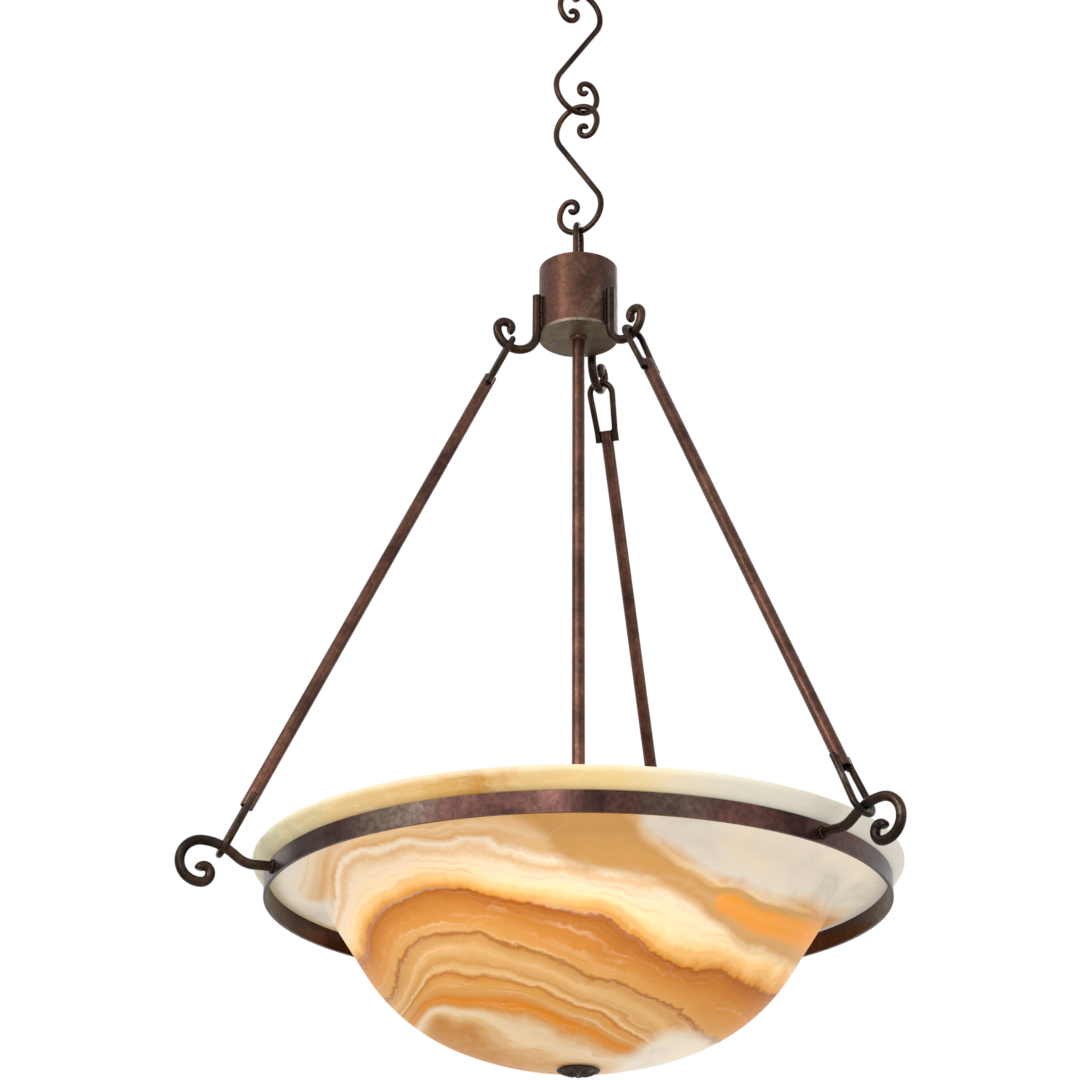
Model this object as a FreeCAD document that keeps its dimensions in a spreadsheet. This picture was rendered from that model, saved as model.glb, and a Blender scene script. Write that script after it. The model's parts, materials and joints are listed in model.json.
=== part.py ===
import FreeCAD, Part
import math
import os
from collections import namedtuple
from types import SimpleNamespace

import Sketcher

# Bowl pendant: a stone bowl in a forged ring, hung by three rods from a hub on a chain of
# two S-links. Millimetres and degrees. The origin is the middle of the ceiling plane, +Z is
# up, and -Y faces the front. Heights inside a piece are counted from that piece's own base.

SIZES = {
    # ceiling fitting
    "canopy_radius": 63.5,
    "canopy_corner_radius": 31.0,
    "canopy_lip": 5.0,
    "canopy_wall": 1.5,
    "collar_radius": 20.0,
    "collar_height": 9.0,
    "crossbar_end": 3.05,
    "crossbar_width": 24.0,
    "crossbar_thickness": 3.0,
    "crossbar_screw_spacing": 88.9,
    "crossbar_slot_length": 9.0,
    "crossbar_slot_radius": 2.4,
    "nipple_radius": 6.6,
    "nipple_bore_radius": 4.5,
    "nipple_length": 35.0,
    "nut_radius": 12.0,
    "nut_height": 5.0,
    "loop_neck_radius": 13.0,
    "loop_neck_top": 21.0,
    "loop_neck_taper": 12.0,
    "loop_neck_foot_radius": 7.0,
    "loop_drop": 93.0,
    "loop_ring_radius": 14.0,
    "loop_turn": 115.0,
    # chain of S-links, bent from one wire
    "wire_diameter": 7.9,
    "link_tip_radius": 4.6,
    "link_tip_sweep": 168.0,
    "link_curl_radius": 10.9,
    "link_curl_sweep": 153.0,
    "link_crown_radius": 27.2,
    "link_crown_sweep": 152.0,
    "link_shoulder_radius": 36.0,
    "link_shoulder_sweep": 99.7,
    "upper_link_turn": 205.0,
    "lower_link_turn": -25.0,
    "wire_tip_rounding": 1.6,
    # hub
    "hub_radius": 51.0,
    "hub_height": 99.3,
    "hub_wall": 3.0,
    "hub_plate": 4.0,
    "hub_loop_height": 67.6,
    "hub_loop_bend": 15.0,
    "hub_loop_turn": 77.0,
    "bushing_radius": 6.3,
    "bushing_flange_radius": 9.0,
    "bushing_flange": 2.5,
    "bushing_bore_radius": 4.0,
    "bushing_reach": 30.0,
    "bushing_turn": -13.0,
    # three forged hooks on the hub and three scrolled arms on the ring
    "rod_diameter": 11.4,
    "rod_tip_rounding": 2.4,
    "rod_tip_radius": 6.6,
    "rod_curl_radius": 10.5,
    "hook_rise": 51.5,
    "hook_stem": 55.0,
    "hook_bend_radius": 27.0,
    "hook_cup_radius": 26.0,
    "hook_curl_sweep": 112.0,
    "hook_tip_sweep": 130.0,
    "arm_level": 12.0,
    "arm_root": 21.5,
    "arm_rise_radius": 30.0,
    "arm_rise_sweep": 36.0,
    "arm_slope": 10.0,
    "arm_crest_radius": 58.0,
    "arm_scroll_radius": 24.2,
    "arm_scroll_sweep": 182.0,
    "arm_curl_sweep": 112.0,
    "arm_tip_sweep": 140.0,
    "left_bearing": 200.0,
    "right_bearing": -44.0,
    "back_bearing": 72.0,
    # hangers: a tube with a bent wire eye welded on each end
    "tube_diameter": 15.9,
    "tube_wall": 1.6,
    "eye_crown_radius": 15.0,
    "eye_length": 64.0,
    "eye_lap": 15.0,
    "eye_lap_bend": 20.0,
    # ring and bowl
    "hub_to_ring": 726.8,
    "ring_radius": 366.0,
    "ring_thickness": 4.0,
    "ring_height": 24.0,
    "bowl_wall": 10.0,
    "bowl_base_sweep": 22.2,
    "bowl_shoulder_radius": 221.9,
    "bowl_shoulder_sweep": 34.5,
    "bowl_side": 90.9,
    "bowl_throat_radius": 44.1,
    "bowl_throat_sweep": 48.6,
    "bowl_ledge": 32.6,
    "bowl_lip_overhang": 1.5,
    "bowl_lip_radius": 14.0,
    "bowl_lip_sweep": 45.9,
    "bowl_lip_flare": 12.5,
    "bowl_hole_radius": 6.5,
    # stem, lamp cluster and finial
    "stem_weld": 4.0,
    "ring_to_cluster": 62.0,
    "cluster_radius": 25.0,
    "cluster_height": 34.0,
    "cluster_wall": 3.0,
    "wire_hole_radius": 6.3,
    "cover_thickness": 3.0,
    "socket_arm_radius": 5.0,
    "socket_arm_bore_radius": 3.5,
    "socket_arm_length": 22.0,
    "socket_radius": 18.5,
    "socket_length": 46.0,
    "socket_back": 8.0,
    "bulb_base_radius": 13.1,
    "bulb_base_length": 30.0,
    "bulb_neck": 8.0,
    "bulb_flank_radius": 27.0,
    "bulb_flank_sweep": 45.0,
    "bulb_wall": 0.9,
    "first_lamp_bearing": 12.0,
    "lamp_count": 3,
    "conductor_radius": 1.6,
    "conductor_offset": 4.4,
    "connector_radius": 5.5,
    "connector_height": 20.0,
    "tie_rod_radius": 3.2,
    "tie_nut_radius": 7.0,
    "tie_nut_height": 5.5,
    "washer_radius": 21.0,
    "washer_thickness": 2.0,
    "finial_radius": 25.0,
    "finial_rim": 3.0,
    "finial_height": 11.0,
    "finial_dome_radius": 42.0,
    "finial_thread_depth": 7.0,
    # clearances
    "running_gap": 0.3,
    "thread_gap": 0.05,
    "weld_gap": 0.05,
}

LEFT, RIGHT = 1, -1
FULL_TURN = 360.0
HALF_TURN = 180.0
QUARTER_TURN = 90.0

doc = FreeCAD.newDocument("BowlPendant")
vector = FreeCAD.Vector


class Size(float):
    """A number that remembers the spreadsheet formula it comes from."""

    def __new__(cls, number, formula):
        made = super().__new__(cls, number)
        made.formula = formula
        return made

    def __add__(self, other):
        return Size(float(self) + float(other), f"({self.formula} + {formula_of(other)})")

    def __radd__(self, other):
        return Size(float(other) + float(self), f"({formula_of(other)} + {self.formula})")

    def __sub__(self, other):
        return Size(float(self) - float(other), f"({self.formula} - {formula_of(other)})")

    def __rsub__(self, other):
        return Size(float(other) - float(self), f"({formula_of(other)} - {self.formula})")

    def __mul__(self, other):
        return Size(float(self) * float(other), f"({self.formula} * {formula_of(other)})")

    def __truediv__(self, other):
        return Size(float(self) / float(other), f"({self.formula} / {formula_of(other)})")

    def __neg__(self):
        return Size(-float(self), f"(0 - {self.formula})")


def formula_of(number):
    return number.formula if isinstance(number, Size) else repr(float(number))


def write_cell(sheet, row, alias, number):
    sheet.set(f"A{row}", alias)
    sheet.set(f"B{row}", str(number))
    sheet.setAlias(f"B{row}", alias)
    return Size(number, f"{sheet.Name}.{alias}")


size_sheet = doc.addObject("Spreadsheet::Sheet", "Sizes")
mm = SimpleNamespace(**{
    alias: write_cell(size_sheet, row, alias, number)
    for row, (alias, number) in enumerate(SIZES.items(), start=1)
})

# The second sheet holds stations: places worked out below from the driving sizes.
station_sheet = doc.addObject("Spreadsheet::Sheet", "Stations")
station_rows = []


def station(alias, number):
    station_rows.append(alias)
    return write_cell(station_sheet, len(station_rows), alias, round(float(number), 9))


# ---------------------------------------------------------------- paths of runs and bends

Leg = namedtuple("Leg", "kind begin end length sweep turn centre heading")


def run(length):
    return ("run", length, 0.0, 0)


def bend(radius, sweep, turn):
    return ("bend", radius, sweep, turn)


def walk(start, heading, moves):
    """Follow runs and bends laid end to end, each tangent to the last."""
    legs = []
    x, y = start
    for kind, length, sweep, turn in moves:
        angle = math.radians(heading)
        if kind == "run":
            centre = None
            end = (x + length * math.cos(angle), y + length * math.sin(angle))
        else:
            centre = (x - turn * length * math.sin(angle), y + turn * length * math.cos(angle))
            heading = heading + turn * float(sweep)
            after = math.radians(heading)
            end = (centre[0] + turn * length * math.sin(after),
                   centre[1] - turn * length * math.cos(after))
        legs.append(Leg(kind, (x, y), end, length, sweep, turn, centre, heading))
        x, y = end
    return legs


def wall_outline(name, start, heading, moves, wall):
    """Corners of a wall: out along the path, then back along its inner face on the left."""
    legs = walk(start, heading, moves)
    marks = [(start, heading, None, 0)]
    marks += [(leg.end, leg.heading, leg.length if leg.turn else None, leg.turn) for leg in legs]
    outer, inner = [], []
    for index, (point, angle, radius, turn) in enumerate(marks):
        side = math.radians(angle + QUARTER_TURN)
        within = (point[0] + wall * math.cos(side), point[1] + wall * math.sin(side))
        corner = tuple(station(f"{name}_outer{axis}{index}", value)
                       for axis, value in zip(("_reach_", "_level_"), point))
        opposite = tuple(station(f"{name}_inner{axis}{index}", value)
                         for axis, value in zip(("_reach_", "_level_"), within))
        outer.append((corner, radius, turn))
        inner.append((opposite, None if radius is None else radius - turn * wall, -turn))
    back = [(inner[-1][0], None, 0)]
    for index in range(len(inner) - 1, 0, -1):
        back.append((inner[index - 1][0], inner[index][1], inner[index][2]))
    return outer + back


# ---------------------------------------------------------------- sketches

def new_body(label):
    body = doc.addObject("PartDesign::Body", label)
    body.Label = label
    return body


def origin_feature(body, role):
    return next(item for item in body.Origin.OriginFeatures if item.Role == role)


def bind(owner, path, number):
    """Set a property, tied to its formula when it has one."""
    if isinstance(number, Size):
        owner.setExpression(path, number.formula)
    else:
        setattr(owner, path, number)


def new_sketch(body, role, name, lift=0.0):
    sketch = body.newObject("Sketcher::SketchObject", f"{body.Name}_{name}")
    sketch.AttachmentSupport = [(origin_feature(body, role), "")]
    sketch.MapMode = "FlatFace"
    sketch.AttachmentOffset = FreeCAD.Placement(vector(0, 0, float(lift)), FreeCAD.Rotation())
    if isinstance(lift, Size):
        sketch.setExpression("AttachmentOffset.Base.z", lift.formula)
    return sketch


def hold(sketch, constraint, number=None, unit=""):
    index = sketch.addConstraint(constraint)
    if isinstance(number, Size):
        sketch.setExpression(f"Constraints[{index}]", number.formula + unit)


def pin(sketch, shape, point, spot):
    """Fix a point of the sketch by its two distances from the origin."""
    for axis, number in zip(("DistanceX", "DistanceY"), spot):
        hold(sketch, Sketcher.Constraint(axis, -1, 1, shape, point, float(number)), number)


def add_circle(sketch, centre, radius):
    circle = Part.Circle(vector(float(centre[0]), float(centre[1]), 0), vector(0, 0, 1), radius)
    shape = sketch.addGeometry(circle, False)
    hold(sketch, Sketcher.Constraint("Radius", shape, float(radius)), radius)
    pin(sketch, shape, 3, centre)


def add_line(sketch, begin, end):
    return sketch.addGeometry(Part.LineSegment(vector(*begin, 0), vector(*end, 0)), False)


def add_arc(sketch, centre, radius, begin, end, turn):
    """Add an arc and return it with the numbers of its first and last points."""
    angles = [math.atan2(point[1] - centre[1], point[0] - centre[0]) for point in (begin, end)]
    low, high = angles if turn == LEFT else angles[::-1]
    if high <= low:
        high += 2 * math.pi
    circle = Part.Circle(vector(*centre, 0), vector(0, 0, 1), float(radius))
    shape = sketch.addGeometry(Part.ArcOfCircle(circle, low, high), False)
    hold(sketch, Sketcher.Constraint("Radius", shape, float(radius)), radius)
    return (shape, 1, 2) if turn == LEFT else (shape, 2, 1)


def add_path(sketch, start, heading, moves):
    """Draw the legs of a path, held by their lengths, radii, sweeps and tangency."""
    legs = walk((float(start[0]), float(start[1])), heading, moves)
    last = None
    for leg in legs:
        if leg.kind == "run":
            shape, first, final = add_line(sketch, leg.begin, leg.end), 1, 2
            hold(sketch, Sketcher.Constraint("Distance", shape, float(leg.length)), leg.length)
        else:
            shape, first, final = add_arc(sketch, leg.centre, leg.length, leg.begin, leg.end,
                                          leg.turn)
            sweep = Sketcher.Constraint("Angle", shape, math.radians(leg.sweep))
            hold(sketch, sweep, leg.sweep, " * 1 deg")
        if last is not None:
            sketch.addConstraint(Sketcher.Constraint("Tangent", *last, shape, first))
        else:
            pin(sketch, shape, first, start)
            upright = heading % HALF_TURN == QUARTER_TURN
            if leg.kind == "run":
                level = Sketcher.Constraint("Vertical" if upright else "Horizontal", shape)
            else:
                level = Sketcher.Constraint("Horizontal" if upright else "Vertical",
                                            shape, first, shape, 3)
            sketch.addConstraint(level)
        last = (shape, final)
    return legs


def add_outline(sketch, corners):
    """Draw a closed outline of pinned corners, with arcs where a corner names a radius."""
    first_edges = []
    previous = corners[-1][0]
    ends = []
    for corner, radius, turn in corners:
        begin = (float(previous[0]), float(previous[1]))
        end = (float(corner[0]), float(corner[1]))
        if radius is None:
            shape, first, final = add_line(sketch, begin, end), 1, 2
        else:
            across = (end[0] - begin[0], end[1] - begin[1])
            chord = math.hypot(*across)
            rise = turn * math.sqrt(max(float(radius) ** 2 - chord ** 2 / 4, 0.0)) / chord
            centre = ((begin[0] + end[0]) / 2 - rise * across[1],
                      (begin[1] + end[1]) / 2 + rise * across[0])
            shape, first, final = add_arc(sketch, centre, radius, begin, end, turn)
        first_edges.append((shape, first))
        ends.append((shape, final))
        pin(sketch, shape, final, corner)
        previous = corner
    for end, beginning in zip(ends, first_edges[1:] + first_edges[:1]):
        sketch.addConstraint(Sketcher.Constraint("Coincident", *end, *beginning))


def corners_of(*spots):
    """Outline corners joined by straight edges."""
    return [(spot, None, 0) for spot in spots]


def add_slot(sketch, near, far, radius):
    """Draw a slot along X between the centres of its two round ends."""
    (left, level), (right, _) = near, far
    above, below = float(level + radius), float(level - radius)
    near_end = add_arc(sketch, (float(left), float(level)), radius,
                       (float(left), above), (float(left), below), LEFT)
    bottom = add_line(sketch, (float(left), below), (float(right), below))
    far_end = add_arc(sketch, (float(right), float(level)), radius,
                      (float(right), below), (float(right), above), LEFT)
    top = add_line(sketch, (float(right), above), (float(left), above))
    for first, second in (((near_end[0], 2), (bottom, 1)), ((bottom, 2), (far_end[0], 1)),
                          ((far_end[0], 2), (top, 1)), ((top, 2), (near_end[0], 1))):
        sketch.addConstraint(Sketcher.Constraint("Tangent", *first, *second))
    pin(sketch, near_end[0], 3, near)
    pin(sketch, far_end[0], 3, far)


# ---------------------------------------------------------------- kinds of piece

def place(piece, x=0.0, y=0.0, z=0.0, rotation=None):
    piece.Placement = FreeCAD.Placement(vector(float(x), float(y), float(z)),
                                        rotation or FreeCAD.Rotation())
    for axis, number in zip("xyz", (x, y, z)):
        if isinstance(number, Size):
            piece.setExpression(f"Placement.Base.{axis}", number.formula)
    return piece


def about_z(angle):
    return FreeCAD.Rotation(vector(0, 0, 1), float(angle))


def about_x(angle):
    return FreeCAD.Rotation(vector(1, 0, 0), float(angle))


def turned(label, corners):
    """A body turned about its Z axis from an outline of radii and heights."""
    body = new_body(label)
    sketch = new_sketch(body, "XZ_Plane", "outline")
    add_outline(sketch, corners)
    turn = body.newObject("PartDesign::Revolution", f"{label}_turn")
    turn.Profile = sketch
    turn.ReferenceAxis = (sketch, ["V_Axis"])
    turn.Angle = FULL_TURN
    sketch.Visibility = False
    return body


def tube(label, outer, bore, length):
    return turned(label, corners_of((bore, 0.0), (outer, 0.0), (outer, length), (bore, length)))


def disc(label, radius, thickness, holes=()):
    """A flat round plate padded up from its underside, with round holes."""
    body = new_body(label)
    sketch = new_sketch(body, "XY_Plane", "outline")
    add_circle(sketch, (0.0, 0.0), radius)
    for centre, hole_radius in holes:
        add_circle(sketch, centre, hole_radius)
    pad = body.newObject("PartDesign::Pad", f"{label}_pad")
    pad.Profile = sketch
    bind(pad, "Length", thickness)
    return body


def edge_at(shape, point):
    """Name of the round edge whose centre lies nearest to a point."""
    def distance(index):
        curve = shape.Edges[index].Curve
        return curve.Center.distanceToPoint(point) if hasattr(curve, "Center") else math.inf
    return f"Edge{min(range(len(shape.Edges)), key=distance) + 1}"


def bent_rod(label, diameter, start, heading, moves, rounding, both_tips=False):
    """A round rod bent in the XZ plane, with its scrolled tips rounded over."""
    body = new_body(label)
    spine = new_sketch(body, "XZ_Plane", "spine")
    legs = add_path(spine, start, heading, moves)
    if heading % HALF_TURN == QUARTER_TURN:
        profile = new_sketch(body, "XY_Plane", "section", start[1])
        add_circle(profile, (start[0], 0.0), diameter / 2)
    else:
        profile = new_sketch(body, "YZ_Plane", "section", start[0])
        add_circle(profile, (0.0, start[1]), diameter / 2)
    pipe = body.newObject("PartDesign::AdditivePipe", f"{label}_pipe")
    pipe.Profile = profile
    pipe.Spine = (spine, [])
    if rounding is not None:
        doc.recompute()
        tips = [legs[-1].end] + ([legs[0].begin] if both_tips else [])
        edges = [edge_at(pipe.Shape, vector(float(tip[0]), 0, float(tip[1]))) for tip in tips]
        fillet = body.newObject("PartDesign::Fillet", f"{label}_tips")
        fillet.Base = (pipe, edges)
        bind(fillet, "Radius", rounding)
    return body


def hex_nut(label, radius, bore, height):
    """A plain hexagonal nut cut from a prism."""
    block = doc.addObject("Part::Prism", f"{label}_block")
    block.Polygon = 6
    bind(block, "Circumradius", radius)
    bind(block, "Height", height)
    drill = doc.addObject("Part::Cylinder", f"{label}_drill")
    bind(drill, "Radius", bore)
    bind(drill, "Height", height)
    nut = doc.addObject("Part::Cut", label)
    nut.Base = block
    nut.Tool = drill
    return nut


def pair(label, kind, offset, base, **dimensions):
    """Two equal primitives side by side along X, kept as one sub-part."""
    members = []
    for name, side in (("near", 1.0), ("far", -1.0)):
        member = doc.addObject(kind, f"{label}_{name}")
        for path, number in dimensions.items():
            bind(member, path, number)
        place(member, offset * side, 0.0, base)
        members.append(member)
    group = doc.addObject("Part::Compound", label)
    group.Links = members
    return group


# ---------------------------------------------------------------- ceiling fitting

wire_radius = mm.wire_diameter / 2
rod_radius = mm.rod_diameter / 2
contact = mm.wire_diameter + mm.running_gap

canopy_depth = mm.canopy_lip + mm.canopy_corner_radius
canopy_hole_radius = mm.loop_neck_radius + mm.running_gap


def build_crossbar():
    body = new_body("ceiling_crossbar")
    sketch = new_sketch(body, "XY_Plane", "bar")
    reach = mm.crossbar_screw_spacing + mm.crossbar_slot_length + mm.crossbar_end * 2
    half_length, half_width = reach / 2, mm.crossbar_width / 2
    add_outline(sketch, corners_of((-half_length, -half_width), (half_length, -half_width),
                                   (half_length, half_width), (-half_length, half_width)))
    add_circle(sketch, (0.0, 0.0), mm.nipple_radius + mm.thread_gap)
    pad = body.newObject("PartDesign::Pad", "crossbar_pad")
    pad.Profile = sketch
    bind(pad, "Length", mm.crossbar_thickness)
    slot = new_sketch(body, "XY_Plane", "slot")
    middle = mm.crossbar_screw_spacing / 2
    straight = mm.crossbar_slot_length / 2 - mm.crossbar_slot_radius
    add_slot(slot, (middle - straight, 0.0), (middle + straight, 0.0), mm.crossbar_slot_radius)
    pocket = body.newObject("PartDesign::Pocket", "crossbar_slot_cut")
    pocket.Profile = slot
    pocket.Type = "ThroughAll"
    pocket.Midplane = True
    mirror = body.newObject("PartDesign::Mirrored", "crossbar_slots")
    mirror.Originals = [pocket]
    mirror.MirrorPlane = (origin_feature(body, "YZ_Plane"), [""])
    body.Tip = mirror
    place(body, z=-mm.crossbar_thickness)


def build_canopy_loop():
    """A threaded neck with a round loop under it, its foot just below the wire's centre."""
    body = new_body("canopy_loop")
    neck = new_sketch(body, "XZ_Plane", "neck")
    top = -mm.loop_neck_top
    foot = mm.loop_ring_radius * 2 - mm.loop_drop - wire_radius / 4
    bore = mm.nipple_radius + mm.thread_gap
    bore_floor = -mm.nipple_length - mm.running_gap
    add_outline(neck, corners_of((0.0, foot), (mm.loop_neck_foot_radius, foot),
                                 (mm.loop_neck_radius, foot + mm.loop_neck_taper),
                                 (mm.loop_neck_radius, top), (bore, top),
                                 (bore, bore_floor), (0.0, bore_floor)))
    turn = body.newObject("PartDesign::Revolution", "loop_neck_turn")
    turn.Profile = neck
    turn.ReferenceAxis = (neck, ["V_Axis"])
    turn.Angle = FULL_TURN
    section = new_sketch(body, "YZ_Plane", "ring")
    add_circle(section, (0.0, -mm.loop_drop), wire_radius)
    axle_level = mm.loop_ring_radius - mm.loop_drop
    axle = section.addGeometry(Part.LineSegment(vector(-1, float(axle_level), 0),
                                                vector(1, float(axle_level), 0)), True)
    pin(section, axle, 1, (-1.0, axle_level))
    pin(section, axle, 2, (1.0, axle_level))
    ring = body.newObject("PartDesign::Revolution", "loop_ring_turn")
    ring.Profile = section
    ring.ReferenceAxis = (section, ["Axis0"])
    ring.Angle = FULL_TURN
    place(body, rotation=about_z(mm.loop_turn))


def build_ceiling_fitting():
    build_crossbar()
    nipple = tube("threaded_nipple", mm.nipple_radius, mm.nipple_bore_radius, mm.nipple_length)
    place(nipple, z=-mm.nipple_length)
    nut = hex_nut("nipple_lock_nut", mm.nut_radius, mm.nipple_radius + mm.thread_gap,
                  mm.nut_height)
    place(nut, z=-mm.crossbar_thickness - mm.nut_height)
    build_canopy_loop()
    floor = mm.canopy_radius - mm.canopy_corner_radius - canopy_hole_radius
    moves = [run(floor), bend(mm.canopy_corner_radius, QUARTER_TURN, LEFT), run(mm.canopy_lip)]
    canopy = turned("ceiling_canopy", wall_outline("canopy", (float(canopy_hole_radius), 0.0),
                                                   0.0, moves, mm.canopy_wall))
    place(canopy, z=-canopy_depth)
    collar = tube("canopy_collar", mm.collar_radius, canopy_hole_radius, mm.collar_height)
    place(collar, z=-canopy_depth - mm.collar_height)


# ---------------------------------------------------------------- chain

# Going up the diagonal from the middle of a link, the shoulder and then the crown turn the
# wire until it runs level at the top, straight above the middle.
link_lean = (mm.link_tip_sweep + mm.link_curl_sweep + mm.link_crown_sweep
             + mm.link_shoulder_sweep - FULL_TURN - HALF_TURN)
diagonal = math.radians(QUARTER_TURN + link_lean)
crown_start = diagonal - math.radians(mm.link_shoulder_sweep)
shoulder_reach = mm.link_shoulder_radius * (math.sin(diagonal) - math.sin(crown_start))
crown_reach = mm.link_crown_radius * math.sin(crown_start)
half_diagonal = station("link_half_diagonal",
                        (shoulder_reach + crown_reach) / -math.cos(diagonal))
link_rise = station("link_rise", half_diagonal * math.sin(diagonal)
                    + mm.link_shoulder_radius * (math.cos(crown_start) - math.cos(diagonal))
                    + mm.link_crown_radius * (1 - math.cos(crown_start)))
half_link = [bend(mm.link_shoulder_radius, mm.link_shoulder_sweep, RIGHT),
             bend(mm.link_crown_radius, mm.link_crown_sweep, RIGHT),
             bend(mm.link_curl_radius, mm.link_curl_sweep, RIGHT),
             bend(mm.link_tip_radius, mm.link_tip_sweep, RIGHT)]
upper_tip = walk((0.0, 0.0), QUARTER_TURN + float(link_lean),
                 [run(half_diagonal)] + half_link)[-1].end
link_tip = (station("link_tip_reach", upper_tip[0]), station("link_tip_level", upper_tip[1]))

canopy_loop_level = -mm.loop_drop
upper_link_level = station("upper_link_level", canopy_loop_level + contact - link_rise)
lower_link_level = station("lower_link_level",
                           upper_link_level - link_rise + contact - link_rise)
hub_loop_level = station("hub_loop_level", lower_link_level - link_rise + contact)
hub_top = station("hub_top", hub_loop_level - mm.hub_loop_height)
hub_bottom = station("hub_bottom", hub_top - mm.hub_height)
ring_top = station("ring_top", hub_bottom - mm.hub_to_ring)


def build_links():
    opening_half = [("bend", radius, sweep, LEFT) for _, radius, sweep, _ in reversed(half_link)]
    moves = opening_half + [run(half_diagonal * 2)] + half_link
    for label, level, turn in (("upper_link", upper_link_level, mm.upper_link_turn),
                               ("lower_link", lower_link_level, mm.lower_link_turn)):
        link = bent_rod(label, mm.wire_diameter, link_tip, QUARTER_TURN, moves,
                        mm.wire_tip_rounding, both_tips=True)
        place(link, z=level, rotation=about_z(turn))


# ---------------------------------------------------------------- hub

hook_reach = mm.hub_radius + rod_radius + mm.weld_gap
hook_top = station("hook_top", hub_bottom + mm.hook_rise)
cup_centre = (hook_reach + mm.hook_bend_radius,
              station("hook_cup_level", hook_top - mm.hook_stem - mm.hook_bend_radius
                      + mm.hook_cup_radius))


def polar(reach, bearing):
    angle = math.radians(bearing)
    return (reach * math.cos(angle), reach * math.sin(angle))


def build_hub():
    bushing_spot = polar(float(mm.bushing_reach), mm.bushing_turn)
    bushing_at = (station("bushing_x", bushing_spot[0]), station("bushing_y", bushing_spot[1]))
    top_plate = disc("hub_top_plate", mm.hub_radius, mm.hub_plate,
                     [(bushing_at, mm.bushing_radius + mm.weld_gap)])
    place(top_plate, z=hub_top - mm.hub_plate)
    shell = tube("hub_shell", mm.hub_radius, mm.hub_radius - mm.hub_wall,
                 mm.hub_height - mm.hub_plate * 2)
    place(shell, z=hub_bottom + mm.hub_plate)
    bottom_plate = disc("hub_bottom_plate", mm.hub_radius, mm.hub_plate,
                        [((0.0, 0.0), mm.wire_hole_radius)])
    place(bottom_plate, z=hub_bottom)
    foot = (-mm.hub_loop_bend, 0.0)
    leg = mm.hub_loop_height - mm.hub_loop_bend
    loop = bent_rod("hub_loop", mm.wire_diameter, foot, QUARTER_TURN,
                    [run(leg), bend(mm.hub_loop_bend, HALF_TURN, RIGHT), run(leg)], None)
    place(loop, z=hub_top, rotation=about_z(mm.hub_loop_turn))
    below = -mm.hub_plate - mm.bushing_flange
    bushing = turned("hub_cord_bushing", corners_of(
        (mm.bushing_bore_radius, below), (mm.bushing_radius, below), (mm.bushing_radius, 0.0),
        (mm.bushing_flange_radius, 0.0), (mm.bushing_flange_radius, mm.bushing_flange),
        (mm.bushing_bore_radius, mm.bushing_flange)))
    place(bushing, bushing_at[0], bushing_at[1], hub_top)


def build_hub_hook(side, bearing):
    moves = [run(mm.hook_stem), bend(mm.hook_bend_radius, QUARTER_TURN, LEFT),
             bend(mm.hook_cup_radius, QUARTER_TURN, LEFT),
             bend(mm.rod_curl_radius, mm.hook_curl_sweep, LEFT),
             bend(mm.rod_tip_radius, mm.hook_tip_sweep, LEFT)]
    hook = bent_rod(f"{side}_hub_hook", mm.rod_diameter, (hook_reach, 0.0), -QUARTER_TURN,
                    moves, mm.rod_tip_rounding)
    place(hook, z=hook_top, rotation=about_z(bearing))


# ---------------------------------------------------------------- ring, arms and hangers

arm_start = (mm.ring_radius + mm.weld_gap, -mm.arm_level)
to_crest = [run(mm.arm_root), bend(mm.arm_rise_radius, mm.arm_rise_sweep, LEFT),
            run(mm.arm_slope), bend(mm.arm_crest_radius, mm.arm_rise_sweep, RIGHT)]
arm_moves = to_crest + [bend(mm.arm_scroll_radius, mm.arm_scroll_sweep, RIGHT),
                        bend(mm.rod_curl_radius, mm.arm_curl_sweep, RIGHT),
                        bend(mm.rod_tip_radius, mm.arm_tip_sweep, RIGHT)]
crest_centre = walk((float(arm_start[0]), float(arm_start[1])), 0.0, to_crest)[-1].centre

# A hanger pulls square to both rods, so its line runs through the centre of the hook's cup
# and the centre of the arm's crest bend.
fall = cup_centre[1] - (ring_top + crest_centre[1])
spread = crest_centre[0] - cup_centre[0]
hanger_lean = station("hanger_lean", math.degrees(math.atan2(spread, fall)))
eye_seat = rod_radius + wire_radius + mm.running_gap
cup_reach = station("cup_reach", mm.hook_cup_radius - eye_seat)
crest_rise = station("crest_rise", mm.arm_crest_radius - eye_seat)
hanger_span = station("hanger_span", math.hypot(spread, fall) - crest_rise - cup_reach)
tube_length = station("hanger_tube_length", hanger_span - mm.eye_length * 2)
tube_start = (crest_rise + mm.eye_length)

# Each leg of an eye leaves the tube's side, leans out on a small bend and runs straight into
# the round crown: an inner tangent of the two bends.
leg_reach = mm.tube_diameter / 2 + wire_radius + mm.weld_gap
crown_level = mm.eye_length - mm.eye_crown_radius
bend_apart = math.hypot(leg_reach + mm.eye_lap_bend, crown_level)
both_bends = mm.eye_lap_bend + mm.eye_crown_radius
leg_heading = (math.atan2(crown_level, leg_reach + mm.eye_lap_bend)
               + math.asin(both_bends / bend_apart))
leg_flare = station("eye_leg_flare", math.degrees(leg_heading) - QUARTER_TURN)
leg_run = station("eye_leg_run", math.sqrt(bend_apart ** 2 - both_bends ** 2))


def along_hanger(distance, bearing):
    """Place on a hanger's line, measured up from the centre of the arm's crest bend."""
    lean = math.radians(hanger_lean)
    reach = crest_centre[0] - distance * math.sin(lean)
    level = ring_top + crest_centre[1] + distance * math.cos(lean)
    return (*polar(reach, bearing), level)


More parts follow.
